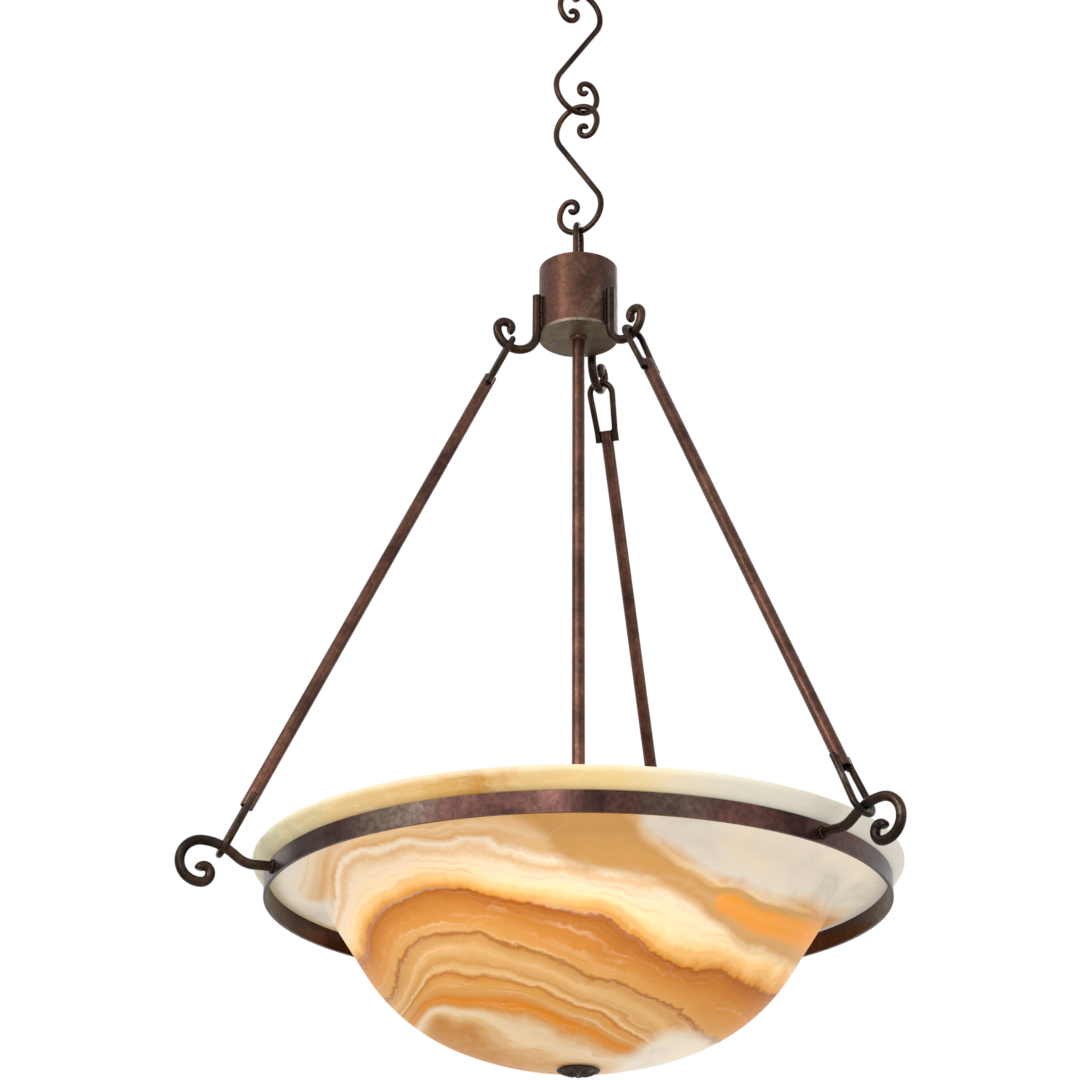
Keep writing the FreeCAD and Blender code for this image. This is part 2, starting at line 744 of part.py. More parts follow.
def build_hanger(side, bearing):
    upright = about_z(bearing + QUARTER_TURN).multiply(about_x(-hanger_lean))
    low_end = along_hanger(tube_start, bearing)
    high_end = along_hanger(tube_start + tube_length, bearing)
    rod = tube(f"{side}_hanger_tube", mm.tube_diameter / 2,
               mm.tube_diameter / 2 - mm.tube_wall, tube_length)
    place(rod, *map(float, low_end), rotation=upright)
    foot = (-leg_reach, -mm.eye_lap)
    moves = [run(mm.eye_lap), bend(mm.eye_lap_bend, leg_flare, LEFT), run(leg_run),
             bend(mm.eye_crown_radius, leg_flare * 2 + HALF_TURN, RIGHT),
             run(leg_run), bend(mm.eye_lap_bend, leg_flare, LEFT), run(mm.eye_lap)]
    for end, spot, rotation in (("top", high_end, upright),
                                ("bottom", low_end, upright.multiply(about_x(HALF_TURN)))):
        eye = bent_rod(f"{side}_{end}_eye", mm.wire_diameter, foot, QUARTER_TURN, moves, None)
        place(eye, *map(float, spot), rotation=rotation)


def build_arm(side, bearing):
    arm = bent_rod(f"{side}_arm", mm.rod_diameter, arm_start, 0.0, arm_moves,
                   mm.rod_tip_rounding)
    place(arm, z=ring_top, rotation=about_z(bearing))


def build_ring():
    ring = tube("ring_band", mm.ring_radius, mm.ring_radius - mm.ring_thickness, mm.ring_height)
    place(ring, z=ring_top - mm.ring_height)


# ---------------------------------------------------------------- bowl

# The base bend is as wide as it must be for the lip to reach the ring.
base = math.radians(mm.bowl_base_sweep)
belly = base + math.radians(mm.bowl_shoulder_sweep)
ledge_slope = belly - math.radians(mm.bowl_throat_sweep)
ring_bore = mm.ring_radius - mm.ring_thickness
base_reach = (ring_bore - mm.bowl_ledge
              - mm.bowl_shoulder_radius * (math.sin(belly) - math.sin(base))
              - mm.bowl_side * math.cos(belly)
              - mm.bowl_throat_radius * (math.sin(belly) - math.sin(ledge_slope)))
bowl_base_radius = station("bowl_base_radius", base_reach / math.sin(base))
ledge_run = station("bowl_ledge_run",
                    (mm.bowl_ledge + mm.bowl_lip_overhang) / math.cos(ledge_slope))
to_ledge = [bend(bowl_base_radius, mm.bowl_base_sweep, LEFT),
            bend(mm.bowl_shoulder_radius, mm.bowl_shoulder_sweep, LEFT),
            run(mm.bowl_side),
            bend(mm.bowl_throat_radius, mm.bowl_throat_sweep, RIGHT),
            run(ledge_run)]
bowl_moves = to_ledge + [bend(mm.bowl_lip_radius, mm.bowl_lip_sweep, LEFT),
                         run(mm.bowl_lip_flare)]
RIM_ROUNDNESS = 0.56
ledge = walk((0.0, 0.0), 0.0, to_ledge)[-1]
seat_height = ledge.end[1] - mm.bowl_lip_overhang * math.tan(ledge_slope)
bowl_pole = station("bowl_pole", ring_top + mm.running_gap - seat_height)


def build_bowl():
    corners = wall_outline("bowl", (0.0, 0.0), 0.0, bowl_moves, mm.bowl_wall)
    first_inner = len(bowl_moves) + 1
    corners[first_inner] = (corners[first_inner][0], mm.bowl_wall * RIM_ROUNDNESS, LEFT)
    bowl = turned("alabaster_bowl", corners)
    sketch = new_sketch(bowl, "XY_Plane", "hole")
    add_circle(sketch, (0.0, 0.0), mm.bowl_hole_radius)
    hole = bowl.newObject("PartDesign::Pocket", "bowl_rod_hole")
    hole.Profile = sketch
    hole.Type = "Length"
    hole.Midplane = True
    bind(hole, "Length", mm.bowl_wall * 3)
    place(bowl, z=bowl_pole)


# ---------------------------------------------------------------- stem, lamps and finial

stem_radius = mm.tube_diameter / 2
stem_bore = stem_radius - mm.tube_wall
cluster_top = station("cluster_top", ring_top - mm.ring_to_cluster)
cluster_floor = station("cluster_floor", cluster_top - mm.cluster_height)
washer_top = bowl_pole - mm.running_gap
finial_top = washer_top - mm.washer_thickness


# The round end of a bulb closes on its axis, so its radius follows the neck and the flank.
flank = math.radians(mm.bulb_flank_sweep)
flank_reach = mm.bulb_base_radius + mm.bulb_flank_radius * (1 - math.cos(flank))
bulb_radius = station("bulb_end_radius", flank_reach / math.cos(flank))


def build_stem():
    stem = tube("stem_tube", stem_radius, stem_bore, hub_bottom - cluster_top)
    place(stem, z=cluster_top)
    inside = stem_radius + mm.weld_gap
    weld = turned("stem_weld", [((inside, 0.0), None, 0),
                                ((inside, -mm.stem_weld), None, 0),
                                ((inside + mm.stem_weld, 0.0), mm.stem_weld, LEFT)])
    place(weld, z=hub_bottom)
    run_length = hub_bottom + mm.hub_plate * 2 - cluster_floor - mm.cluster_height / 2
    pair("stem_wires", "Part::Cylinder", mm.conductor_offset,
         cluster_floor + mm.cluster_height / 2, Radius=mm.conductor_radius, Height=run_length)
    pair("wire_connectors", "Part::Cone", mm.connector_radius + mm.running_gap,
         hub_bottom + mm.hub_plate * 2, Radius1=mm.connector_radius,
         Radius2=mm.connector_radius / 2, Height=mm.connector_height)


def build_cluster():
    inner = mm.cluster_radius - mm.cluster_wall
    body = turned("lamp_cluster_body", corners_of(
        (inner, 0.0), (mm.cluster_radius, 0.0), (mm.cluster_radius, mm.cluster_height),
        (mm.wire_hole_radius, mm.cluster_height),
        (mm.wire_hole_radius, mm.cluster_height - mm.cluster_wall),
        (inner, mm.cluster_height - mm.cluster_wall)))
    sketch = new_sketch(body, "YZ_Plane", "arm_hole")
    add_circle(sketch, (0.0, mm.cluster_height / 2), mm.socket_arm_radius + mm.thread_gap)
    hole = body.newObject("PartDesign::Pocket", "cluster_arm_hole")
    hole.Profile = sketch
    hole.Type = "Length"
    hole.Reversed = True
    bind(hole, "Length", mm.cluster_radius * 2)
    pattern = body.newObject("PartDesign::PolarPattern", "cluster_arm_holes")
    pattern.Originals = [hole]
    pattern.Axis = (origin_feature(body, "Z_Axis"), [""])
    pattern.Angle = FULL_TURN
    pattern.setExpression("Occurrences", mm.lamp_count.formula)
    body.Tip = pattern
    place(body, z=cluster_floor, rotation=about_z(mm.first_lamp_bearing))
    cover = disc("cluster_cover", mm.cluster_radius, mm.cover_thickness,
                 [((0.0, 0.0), mm.tie_rod_radius + mm.thread_gap)])
    place(cover, z=cluster_floor - mm.cover_thickness)


def build_lamp(number, bearing):
    """One socket arm, its socket and a bulb, lying along a bearing inside the bowl."""
    level = cluster_floor + mm.cluster_height / 2
    lying = about_z(bearing).multiply(FreeCAD.Rotation(vector(0, 1, 0), QUARTER_TURN))
    inner_end = mm.cluster_radius - mm.cluster_wall * 2
    socket_start = inner_end + mm.socket_arm_length
    socket_bore = mm.bulb_base_radius + mm.running_gap
    base_start = socket_start + mm.socket_back + mm.running_gap
    arm = tube(f"socket_arm_{number}", mm.socket_arm_radius, mm.socket_arm_bore_radius,
               mm.socket_arm_length)
    socket = turned(f"lamp_socket_{number}", corners_of(
        (mm.socket_arm_bore_radius, 0.0), (mm.socket_radius, 0.0),
        (mm.socket_radius, mm.socket_length), (socket_bore, mm.socket_length),
        (socket_bore, mm.socket_back), (mm.socket_arm_bore_radius, mm.socket_back)))
    base = disc(f"bulb_base_{number}", mm.bulb_base_radius, mm.bulb_base_length)
    moves = [run(mm.bulb_neck), bend(mm.bulb_flank_radius, mm.bulb_flank_sweep, RIGHT),
             bend(bulb_radius, mm.bulb_flank_sweep + QUARTER_TURN, LEFT)]
    glass = turned(f"bulb_glass_{number}", wall_outline(
        f"bulb_{number}", (float(mm.bulb_base_radius), 0.0), QUARTER_TURN, moves, mm.bulb_wall))
    for piece, distance in ((arm, inner_end), (socket, socket_start), (base, base_start),
                            (glass, base_start + mm.bulb_base_length)):
        place(piece, *map(float, polar(distance, bearing)), float(level), rotation=lying)


def build_tie_and_finial():
    thread = mm.finial_thread_depth - mm.running_gap
    rod_foot = finial_top - thread
    nut_level = cluster_floor
    rod_length = nut_level + mm.tie_nut_height * 2 - rod_foot
    rod = disc("tie_rod", mm.tie_rod_radius, rod_length)
    place(rod, z=rod_foot)
    nut = hex_nut("tie_rod_nut", mm.tie_nut_radius, mm.tie_rod_radius + mm.thread_gap,
                  mm.tie_nut_height)
    place(nut, z=nut_level)
    bore = mm.tie_rod_radius + mm.running_gap
    washer = tube("finial_washer", mm.washer_radius, bore, mm.washer_thickness)
    place(washer, z=finial_top)
    finial = turned("finial", [
        ((bore, 0.0), None, 0), ((bore, -mm.finial_thread_depth), None, 0),
        ((0.0, -mm.finial_thread_depth), None, 0), ((0.0, -mm.finial_height), None, 0),
        ((mm.finial_radius, -mm.finial_rim), mm.finial_dome_radius, LEFT),
        ((mm.finial_radius, 0.0), None, 0)])
    place(finial, z=finial_top)


# ---------------------------------------------------------------- assembly

def build_all():
    build_ceiling_fitting()
    build_links()
    build_hub()
    build_ring()
    for side, bearing in (("left", mm.left_bearing), ("right", mm.right_bearing),
                          ("back", mm.back_bearing)):
        build_hub_hook(side, bearing)
        build_arm(side, bearing)
        build_hanger(side, bearing)
    build_bowl()
    build_stem()
    build_cluster()
    lamps = int(mm.lamp_count)
    for index in range(lamps):
        build_lamp(index + 1, mm.first_lamp_bearing + index * FULL_TURN / lamps)
    build_tie_and_finial()


def sub_parts():
    """Bodies, cuts and compounds that stand for one piece each."""
    kinds = ("PartDesign::Body", "Part::Cut", "Part::Compound")
    return [item for item in doc.Objects if item.TypeId in kinds]


def check(parts):
    """Stop if any object failed or any sub-part has no sound shape."""
    failed = [item.Name for item in doc.Objects
              if "Invalid" in item.State or "Error" in item.State]
    unsound = [part.Label for part in parts if part.Shape.isNull() or not part.Shape.isValid()]
    if failed or unsound:
        raise RuntimeError(f"failed objects {failed}, unsound shapes {unsound}")


build_all()
doc.recompute()
pieces = sub_parts()
check(pieces)
os.makedirs("parts", exist_ok=True)
for piece in pieces:
    piece.Shape.exportStep(os.path.join("parts", f"{piece.Label}.step"))
print(f"{len(pieces)} sub-parts, ring top at {float(ring_top):.1f} mm, "
      f"hanger eyes {float(hanger_span):.1f} mm apart")
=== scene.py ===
import json
import math
import random

import bpy
import bmesh
import numpy as np
from mathutils import Matrix, Vector, noise


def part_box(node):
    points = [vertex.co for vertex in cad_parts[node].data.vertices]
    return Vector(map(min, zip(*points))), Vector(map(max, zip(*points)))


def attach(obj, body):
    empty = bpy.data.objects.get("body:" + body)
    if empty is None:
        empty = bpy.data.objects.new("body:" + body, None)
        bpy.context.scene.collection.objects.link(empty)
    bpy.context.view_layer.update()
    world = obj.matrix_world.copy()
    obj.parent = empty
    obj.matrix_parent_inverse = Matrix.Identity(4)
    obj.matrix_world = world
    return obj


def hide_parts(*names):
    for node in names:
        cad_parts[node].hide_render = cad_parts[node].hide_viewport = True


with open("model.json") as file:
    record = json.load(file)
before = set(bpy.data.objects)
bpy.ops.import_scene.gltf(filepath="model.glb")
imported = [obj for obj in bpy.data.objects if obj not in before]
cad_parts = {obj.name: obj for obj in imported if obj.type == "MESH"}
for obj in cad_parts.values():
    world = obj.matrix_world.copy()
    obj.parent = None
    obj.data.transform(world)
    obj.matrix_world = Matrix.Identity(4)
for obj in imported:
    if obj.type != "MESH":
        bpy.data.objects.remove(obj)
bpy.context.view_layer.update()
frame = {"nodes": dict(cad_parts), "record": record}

RING_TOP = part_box("ring_band")[1].z
HUB_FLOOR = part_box("hub_bottom_plate")[0].z
BEARINGS = {"left": 200.0, "right": -44.0, "back": 72.0}

# The photograph's view: where it stands, how far it is tilted up from straight down, and the
# picture that it makes, counted in 1080ths of its width from the top left corner.
EYE = (0.0, -2.8719, RING_TOP - 0.8174)
TILT = math.radians(113.71)
PICTURE_MIDDLE = (578.4, 540.0)
PICTURE_FOCUS = 2524.9
BOWL_LEFT, BOWL_SPAN = 250.0, 660.0


# ---------------------------------------------------------------- camera, light and stage

def add_camera():
    """In front of the ring and below it, tilted up, with the picture framed to the left."""
    data = bpy.data.cameras.new("camera")
    data.sensor_width = 36.0
    data.lens = 84.16
    data.shift_x = -0.0356
    data.clip_end = 60.0
    camera = bpy.data.objects.new("camera", data)
    camera.location = EYE
    camera.rotation_euler = (TILT, 0.0, 0.0)
    bpy.context.scene.collection.objects.link(camera)
    bpy.context.scene.camera = camera
    bpy.context.scene.view_settings.view_transform = "Standard"


def add_lamp(name, place, target, size, power):
    data = bpy.data.lights.new(name, "AREA")
    data.shape = "RECTANGLE"
    data.size, data.size_y = size
    data.energy = power
    lamp = bpy.data.objects.new(name, data)
    lamp.location = place
    direction = Vector(target) - Vector(place)
    lamp.rotation_euler = direction.to_track_quat("-Z", "Y").to_euler()
    bpy.context.scene.collection.objects.link(lamp)


def add_world():
    """White behind the object and in its reflections, and a softer grey light on it."""
    world = bpy.data.worlds.new("studio")
    world.use_nodes = True
    tree = world.node_tree
    tree.nodes.clear()
    output = tree.nodes.new("ShaderNodeOutputWorld")
    mix = tree.nodes.new("ShaderNodeMixShader")
    seen = tree.nodes.new("ShaderNodeBackground")
    seen.inputs["Color"].default_value = (1, 1, 1, 1)
    lit = tree.nodes.new("ShaderNodeBackground")
    lit.inputs["Color"].default_value = (1.0, 0.99, 0.97, 1)
    lit.inputs["Strength"].default_value = 0.46
    path = tree.nodes.new("ShaderNodeLightPath")
    rays = [path.outputs["Is Camera Ray"], path.outputs["Is Glossy Ray"],
            path.outputs["Is Transmission Ray"]]
    total = rays[0]
    for ray in rays[1:]:
        largest = tree.nodes.new("ShaderNodeMath")
        largest.operation = "MAXIMUM"
        tree.links.new(total, largest.inputs[0])
        tree.links.new(ray, largest.inputs[1])
        total = largest.outputs[0]
    tree.links.new(total, mix.inputs[0])
    tree.links.new(lit.outputs[0], mix.inputs[1])
    tree.links.new(seen.outputs[0], mix.inputs[2])
    tree.links.new(mix.outputs[0], output.inputs[0])
    bpy.context.scene.world = world


# ---------------------------------------------------------------- node helpers

class Graph:
    """A material's node tree, with short calls for the nodes used here."""

    def __init__(self, name):
        self.material = bpy.data.materials.new(name)
        self.material.use_nodes = True
        self.tree = self.material.node_tree
        self.shader = self.tree.nodes["Principled BSDF"]
        self.place = self.tree.nodes.new("ShaderNodeTexCoord").outputs["Object"]

    def join(self, value, socket):
        if isinstance(value, bpy.types.NodeSocket):
            self.tree.links.new(value, socket)
        else:
            socket.default_value = value

    def maths(self, operation, first, second=0.0, third=0.0):
        node = self.tree.nodes.new("ShaderNodeMath")
        node.operation = operation
        for value, socket in zip((first, second, third), node.inputs):
            self.join(value, socket)
        return node.outputs[0]

    def noise_node(self, scale, detail=4.0, roughness=0.55, distortion=0.0, place=None):
        node = self.tree.nodes.new("ShaderNodeTexNoise")
        self.join(place or self.place, node.inputs["Vector"])
        for name, value in (("Scale", scale), ("Detail", detail), ("Roughness", roughness),
                            ("Distortion", distortion)):
            node.inputs[name].default_value = value
        return node

    def noise(self, *settings):
        return self.noise_node(*settings).outputs["Fac"]

    def stretched(self, scale, shift=(0.0, 0.0, 0.0)):
        node = self.tree.nodes.new("ShaderNodeMapping")
        self.join(self.place, node.inputs["Vector"])
        node.inputs["Scale"].default_value = scale
        node.inputs["Location"].default_value = shift
        return node.outputs[0]

    def ramp(self, value, stops, smooth=False):
        node = self.tree.nodes.new("ShaderNodeValToRGB")
        node.color_ramp.interpolation = "EASE" if smooth else "LINEAR"
        self.join(value, node.inputs[0])
        elements = node.color_ramp.elements
        while len(elements) < len(stops):
            elements.new(0.5)
        for element, (position, colour) in zip(elements, stops):
            element.position = position
            grey = isinstance(colour, (int, float))
            element.color = (colour, colour, colour, 1) if grey else (*colour, 1)
        return node.outputs[0]

    def mix(self, factor, first, second):
        node = self.tree.nodes.new("ShaderNodeMix")
        node.data_type = "RGBA"
        self.join(factor, node.inputs[0])
        for value, socket in ((first, node.inputs[6]), (second, node.inputs[7])):
            self.join((*value, 1) if isinstance(value, tuple) else value, socket)
        return node.outputs[2]

    def bump(self, height, strength, distance):
        node = self.tree.nodes.new("ShaderNodeBump")
        node.inputs["Strength"].default_value = strength
        node.inputs["Distance"].default_value = distance
        self.join(height, node.inputs["Height"])
        return node.outputs[0]

    def distance(self, centre):
        node = self.tree.nodes.new("ShaderNodeVectorMath")
        node.operation = "DISTANCE"
        self.join(self.place, node.inputs[0])
        node.inputs[1].default_value = centre
        return node.outputs["Value"]

    def attribute(self, name):
        node = self.tree.nodes.new("ShaderNodeAttribute")
        node.attribute_name = name
        return node.outputs["Fac"]

    def finish(self, **sockets):
        for name, value in sockets.items():
            label = name.replace("_", " ")
            if isinstance(value, tuple):
                value = (*value, 1)
            self.join(value, self.shader.inputs[label])
        return self.material


# ---------------------------------------------------------------- materials

def bronze_material(name, dark, warm, worn, worn_share, roughness, highlight_spots=()):
    """Forged iron under a rubbed bronze finish: dark brown, rust-red clouds, worn patches.

    Each highlight spot, (centre, radius, strength), is painted highlight: the worn colour,
    lightened, laid over the finish."""
    g = Graph(name)
    clouds = g.noise(14.0, 6.0, 0.62, 0.6)
    grain = g.noise(160.0, 5.0, 0.6)
    speckle = g.noise(620.0, 3.0, 0.7)
    base = g.mix(g.ramp(clouds, [(0.36, 0.0), (0.66, 1.0)]), dark, warm)
    patches = g.noise(9.0, 7.0, 0.68, 1.2, g.stretched((1, 1, 1), shift=(3.1, 1.7, 0.4)))
    base = g.mix(g.ramp(patches, [(1 - worn_share, 0.0), (1.12 - worn_share, 0.85)]), base, worn)
    # Painted highlight: each spot lays the worn colour, lightened, over the finish.
    for centre, radius, strength in highlight_spots:
        spread = g.maths("MULTIPLY_ADD", clouds, radius * 0.8, -radius * 0.4)
        away = g.maths("DIVIDE", g.maths("ADD", g.distance(centre), spread), radius)
        base = g.mix(g.ramp(away, [(0.15, strength), (1.0, 0.0)], True), base,
                     tuple(c * 1.5 for c in worn))
    base = g.mix(g.ramp(grain, [(0.38, 0.45), (0.62, 0.0)]), base, tuple(c * 0.35 for c in dark))
    base = g.mix(g.ramp(speckle, [(0.62, 0.0), (0.78, 0.6)]), base, tuple(c * 1.8 for c in warm))
    rough = g.maths("MULTIPLY_ADD", g.noise(45.0, 5.0, 0.6), 0.26, roughness - 0.13)
    height = g.maths("ADD", g.maths("MULTIPLY", grain, 0.6), g.maths("MULTIPLY", clouds, 1.6))
    normal = g.bump(height, 0.35, 0.0008)
    return g.finish(Base_Color=base, Metallic=0.88, Roughness=rough, Normal=normal)


def steel_material():
    g = Graph("zinc_steel")
    streak = g.noise(60.0, 4.0, 0.6)
    base = g.mix(streak, (0.42, 0.42, 0.40), (0.62, 0.62, 0.58))
    return g.finish(Base_Color=base, Metallic=1.0,
                    Roughness=g.maths("MULTIPLY_ADD", streak, 0.2, 0.25))


def porcelain_material():
    g = Graph("porcelain")
    haze = g.noise(30.0, 4.0)
    return g.finish(Base_Color=g.mix(haze, (0.86, 0.85, 0.81), (0.92, 0.91, 0.88)),
                    Roughness=g.maths("MULTIPLY_ADD", haze, 0.12, 0.16))


def brass_material():
    g = Graph("lamp_brass")
    haze = g.noise(90.0, 4.0)
    return g.finish(Base_Color=g.mix(haze, (0.68, 0.52, 0.28), (0.86, 0.70, 0.42)),
                    Metallic=1.0, Roughness=g.maths("MULTIPLY_ADD", haze, 0.15, 0.22))


def frosted_material():
    g = Graph("frosted_bulb")
    haze = g.noise(20.0, 3.0)
    glow = g.mix(haze, (1.0, 0.86, 0.62), (1.0, 0.93, 0.78))
    g.shader.inputs["Emission Strength"].default_value = 1.6
    return g.finish(Base_Color=g.mix(haze, (0.92, 0.90, 0.85), (0.97, 0.95, 0.90)),
                    Emission_Color=glow, Roughness=g.maths("MULTIPLY_ADD", haze, 0.1, 0.3))


def plain_material(name, low, high, rough):
    g = Graph(name)
    haze = g.noise(120.0, 4.0)
    return g.finish(Base_Color=g.mix(haze, low, high),
                    Roughness=g.maths("MULTIPLY_ADD", haze, 0.15, rough))


def floor_material():
    g = Graph("pale_floor")
    haze = g.noise(2.0, 3.0)
    return g.finish(Base_Color=g.mix(haze, (0.86, 0.86, 0.86), (0.90, 0.90, 0.90)), Roughness=0.7)


# Colour of the stone at each level of its strata; the pale stops from 0.358 to 0.438 also carry a
# painted highlight on the bowl.
BANDS_AND_HIGHLIGHT = [(0.05, (0.74, 0.69, 0.58)), (0.20, (0.74, 0.56, 0.36)), (0.28, (0.68, 0.37, 0.14)),
         (0.315, (0.80, 0.55, 0.30)), (0.340, (0.70, 0.39, 0.14)), (0.358, (0.92, 0.77, 0.58)),
         (0.376, (0.78, 0.50, 0.25)), (0.400, (0.89, 0.70, 0.49)), (0.438, (0.93, 0.70, 0.40)),
         (0.463, (0.90, 0.54, 0.20)), (0.492, (0.68, 0.28, 0.04)), (0.500, (0.38, 0.09, 0.008)),
         (0.512, (0.45, 0.14, 0.02)), (0.545, (0.56, 0.20, 0.03)), (0.585, (0.63, 0.27, 0.06)),
         (0.610, (0.64, 0.32, 0.09)), (0.619, (0.36, 0.11, 0.015)), (0.630, (0.56, 0.27, 0.07)),
         (0.668, (0.68, 0.40, 0.16)), (0.706, (0.56, 0.27, 0.07)), (0.730, (0.72, 0.45, 0.20)),
         (0.743, (0.45, 0.14, 0.015)), (0.757, (0.62, 0.29, 0.06)), (0.800, (0.60, 0.29, 0.08)),
         (0.832, (0.60, 0.19, 0.010)), (0.856, (0.66, 0.22, 0.012)), (0.876, (0.58, 0.25, 0.05)),
         (0.920, (0.74, 0.57, 0.38)), (0.955, (0.66, 0.43, 0.20)), (1.0, (0.50, 0.21, 0.04))]


def pale_cracks(g, base):
    """Hair-thin healed cracks, a little lighter than the stone."""
    bent = g.tree.nodes.new("ShaderNodeVectorMath")
    bent.operation = "MULTIPLY_ADD"
    g.join(g.noise_node(7.0, 3.0).outputs["Color"], bent.inputs[0])
    bent.inputs[1].default_value = (0.12, 0.12, 0.12)
    g.join(g.place, bent.inputs[2])
    cracks = g.tree.nodes.new("ShaderNodeTexVoronoi")
    cracks.feature = "DISTANCE_TO_EDGE"
    cracks.inputs["Scale"].default_value = 6.0
    g.join(bent.outputs[0], cracks.inputs["Vector"])
    hair = g.ramp(cracks.outputs["Distance"], [(0.0, 0.05), (0.010, 0.0)])
    return g.mix(hair, base, (0.97, 0.90, 0.78))


def lip_colour(g, wander):
    """The flared lip: amber over its left half, grey-white to the right, and paler at its top where
    light is painted on its upper face.
    """
    along_lip = g.maths("ADD", g.attribute("across"), g.maths("MULTIPLY", wander, 2.2))
    edge = g.ramp(along_lip, [(0.02, (0.46, 0.42, 0.27)), (0.12, (0.56, 0.41, 0.20)),
                              (0.26, (0.58, 0.36, 0.13)), (0.34, (0.46, 0.23, 0.045)),
                              (0.41, (0.60, 0.41, 0.18)), (0.56, (0.68, 0.50, 0.22)),
                              (0.63, (0.66, 0.56, 0.38)), (0.72, (0.61, 0.57, 0.47)),
                              (1.0, (0.62, 0.58, 0.52))])
    flecks = g.noise(30.0, 5.0, 0.65, 1.0, g.stretched((1.0, 1.0, 5.0)))
    edge = g.mix(g.ramp(flecks, [(0.50, 0.0), (0.72, 0.45)]), edge, (0.72, 0.61, 0.41))
    # Painted light: the lip's upper face is lightened towards grey-cream.
    rise = g.maths("ADD", g.attribute("rise"), g.maths("MULTIPLY", wander, 8.0))
    return g.mix(g.ramp(rise, [(0.62, 0.0), (1.0, 0.65)]), edge, (0.66, 0.62, 0.50))


def alabaster_material():
    """Banded stone with a painted glow for the light shining through it, coloured by the bowl's
    strata and patches.
    """
    g = Graph("banded_alabaster")
    ragged = g.noise(24.0, 6.0, 0.62, 0.5)
    fine = g.noise(95.0, 4.0, 0.6)
    wander = g.maths("ADD", g.maths("MULTIPLY_ADD", ragged, 0.050, -0.025),
                     g.maths("MULTIPLY_ADD", fine, 0.016, -0.008))
    strata = g.maths("ADD", g.attribute("strata"), wander)
    base = g.ramp(strata, BANDS_AND_HIGHLIGHT)
    # The ramp's pale stops are partly painted highlight.

    # Fine layers follow the strata and are drawn out along them.
    drawn_out = g.tree.nodes.new("ShaderNodeCombineXYZ")
    g.join(g.maths("MULTIPLY", strata, 55.0), drawn_out.inputs[0])
    g.join(g.maths("MULTIPLY", g.attribute("across"), 5.0), drawn_out.inputs[1])
    layers = g.noise(1.0, 4.0, 0.6, 0.3, drawn_out.outputs[0])
    base = g.mix(g.ramp(layers, [(0.52, 0.0), (0.70, 0.42)]), base, (0.54, 0.26, 0.07))
    base = g.mix(g.ramp(layers, [(0.30, 0.26), (0.46, 0.0)]), base, (0.92, 0.76, 0.54))

    patch = g.maths("ADD", g.attribute("patch"), g.maths("MULTIPLY", wander, 5.0))
    amber = g.ramp(patch, [(0.25, (0.56, 0.28, 0.075)), (0.60, (0.62, 0.31, 0.085)),
                           (0.85, (0.84, 0.31, 0.03))])
    base = g.mix(g.ramp(patch, [(0.0, 0.0), (0.30, 0.86), (1.0, 0.92)]), base, amber)

    pale = g.maths("ADD", g.attribute("pale"), g.maths("MULTIPLY", wander, 9.0))
    cloud = g.noise(13.0, 5.0, 0.6, 0.6)
    misty = g.ramp(cloud, [(0.32, (0.60, 0.55, 0.46)), (0.50, (0.74, 0.67, 0.56)),
                           (0.68, (0.82, 0.69, 0.53))])
    base = g.mix(g.ramp(pale, [(0.0, 0.0), (0.55, 0.93)]), base, misty)

    base = g.mix(g.attribute("lip"), base, lip_colour(g, wander))
    base = pale_cracks(g, base)
    # Painted glow: the stone emits its own colour, standing in for the bulbs' light shining through
    # it.
    g.shader.inputs["Emission Strength"].default_value = 0.40
    return g.finish(Base_Color=base, Emission_Color=base, Specular_IOR_Level=0.10,
                    Roughness=g.maths("MULTIPLY_ADD", ragged, 0.16, 0.34))


# ---------------------------------------------------------------- meshes

def new_piece(name, bm, material):
    mesh = bpy.data.meshes.new(name)
    bm.to_mesh(mesh)
    bm.free()
    mesh.polygons.foreach_set("use_smooth", [True] * len(mesh.polygons))
    mesh.materials.append(material)
    piece = bpy.data.objects.new(name, mesh)
    bpy.context.scene.collection.objects.link(piece)
    return piece


def lathe(profile, count):
    """A closed outline of (radius, height) points turned about Z."""
    bm = bmesh.new()
    rings = [[bm.verts.new((radius * math.cos(2 * math.pi * k / count),
                            radius * math.sin(2 * math.pi * k / count), height))
              for k in range(count)] for radius, height in profile]
    for lower, upper in zip(rings, rings[1:] + rings[:1]):
        for k in range(count):
            bm.faces.new([lower[k], lower[(k + 1) % count], upper[(k + 1) % count], upper[k]])
    bmesh.ops.recalc_face_normals(bm, faces=bm.faces)
    return bm


def trace(start, heading, moves, spacing):
    """Points along runs and bends laid end to end, with the heading at each."""
    points = [(start[0], start[1], heading)]
    x, y = start
    for kind, length, sweep in moves:
        if kind == "run":
            steps = max(1, round(length / spacing))
            for step in range(1, steps + 1):
                part = length * step / steps
                points.append((x + part * math.cos(heading), y + part * math.sin(heading),
                               heading))
        else:
            turn = math.copysign(1.0, sweep)
            cx, cy = x - turn * length * math.sin(heading), y + turn * length * math.cos(heading)
            steps = max(3, round(abs(math.radians(sweep)) * length / spacing))
            for step in range(1, steps + 1):
                angle = heading + math.radians(sweep) * step / steps
                points.append((cx + turn * length * math.sin(angle),
                               cy - turn * length * math.cos(angle), angle))
        x, y, heading = points[-1]
    return points


BOWL_WALL = 0.010
BOWL_HOLE = 0.0065
LIP_HEIGHT = 0.0227
BOWL_PATH = [("bend", 0.3882, 22.2), ("bend", 0.2219, 34.5), ("run", 0.0909, 0.0),
             ("bend", 0.0441, -48.6), ("run", 0.03444, 0.0), ("bend", 0.014, 45.9),
             ("run", 0.0125, 0.0)]


